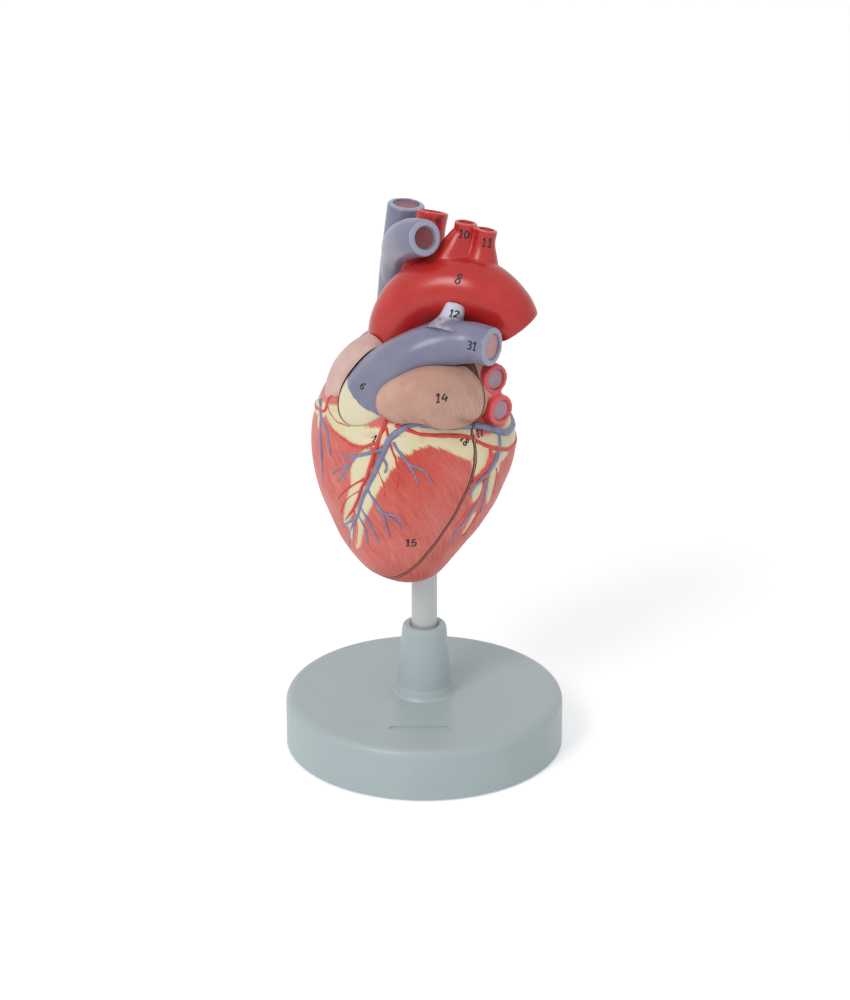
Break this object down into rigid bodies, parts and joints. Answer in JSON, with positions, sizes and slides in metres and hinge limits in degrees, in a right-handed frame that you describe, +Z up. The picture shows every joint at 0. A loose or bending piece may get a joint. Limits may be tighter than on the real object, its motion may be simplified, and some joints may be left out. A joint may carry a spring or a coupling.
{
  "type": "human heart anatomy model",
  "caption": "Life-size human heart model on a weighted round stand; the front half pulls off to show chambers and valves, and the heart turns on and lifts off its upright rod.",
  "frame": {"origin": "centre of the stand's footprint, on the table the feet rest on", "axes": "+Z up along the rod, +X to the viewer's right and +Y away from the viewer in the picture's view; the heart's own front faces the viewer's left, 38 degrees off -Y"},
  "size_m": [0.12, 0.12, 0.2369],
  "materials": {
    "base_plastic": "satin grey moulding",
    "ballast": "bare",
    "cover_plastic": "matt",
    "feet_rubber": "matt",
    "screw_steel": "satin",
    "rod_steel": "satin",
    "socket_brass": "machined",
    "muscle_plastic": "painted, satin",
    "vein_plastic": "painted, satin",
    "artery_plastic": "painted, satin",
    "pulmonary_vein_plastic": "painted, satin",
    "ligament_plastic": "painted, satin",
    "valve_plastic": "painted, satin",
    "papillary_plastic": "painted, satin",
    "pin_plastic": "moulded",
    "magnet_metal": "plated",
    "artery_paint": "painted, satin",
    "vein_paint": "painted, satin",
    "auricle_plastic": "painted, satin"
  },
  "bodies": {
    "stand": {"base_shell": "base_plastic", "base_weight": "ballast", "base_bottom_cover": "cover_plastic", "base_feet": "feet_rubber", "cover_screws": "screw_steel"},
    "rod": {"rod": "rod_steel"},
    "heart": {"rod_socket": "socket_brass", "rear_wall": "muscle_plastic", "pulmonary_trunk": "vein_plastic", "aorta": "artery_plastic", "superior_vena_cava": "vein_plastic", "inferior_vena_cava": "vein_plastic", "left_pulmonary_veins": "pulmonary_vein_plastic", "right_pulmonary_veins": "pulmonary_vein_plastic", "arterial_ligament": "ligament_plastic", "mitral_valve": "valve_plastic", "tricuspid_valve": "valve_plastic", "aortic_valve": "valve_plastic", "left_papillary_muscles": "papillary_plastic", "right_papillary_muscles": "papillary_plastic", "locating_pins": "pin_plastic", "rear_magnets": "magnet_metal", "rear_coronary_arteries": "artery_paint", "rear_cardiac_veins": "vein_paint"},
    "front": {"front_wall": "muscle_plastic", "left_auricle": "auricle_plastic", "right_auricle": "auricle_plastic", "front_magnets": "magnet_metal", "front_coronary_arteries": "artery_paint", "front_cardiac_veins": "vein_paint"}
  },
  "joints": [
    {"name": "rod_turn", "type": "hinge", "parent": "stand", "child": "rod", "pos_m": [0, 0, 0.055], "axis": [0, 0, 1], "continuous": true},
    {"name": "heart_lift", "type": "slide", "parent": "rod", "child": "heart", "axis": [0, 0, 1], "range_m": [0, 0.04]},
    {"name": "front_pull", "type": "slide", "parent": "heart", "child": "front", "axis": [-0.5974, -0.7646, 0.2419], "range_m": [0, 0.07]}
  ]
}
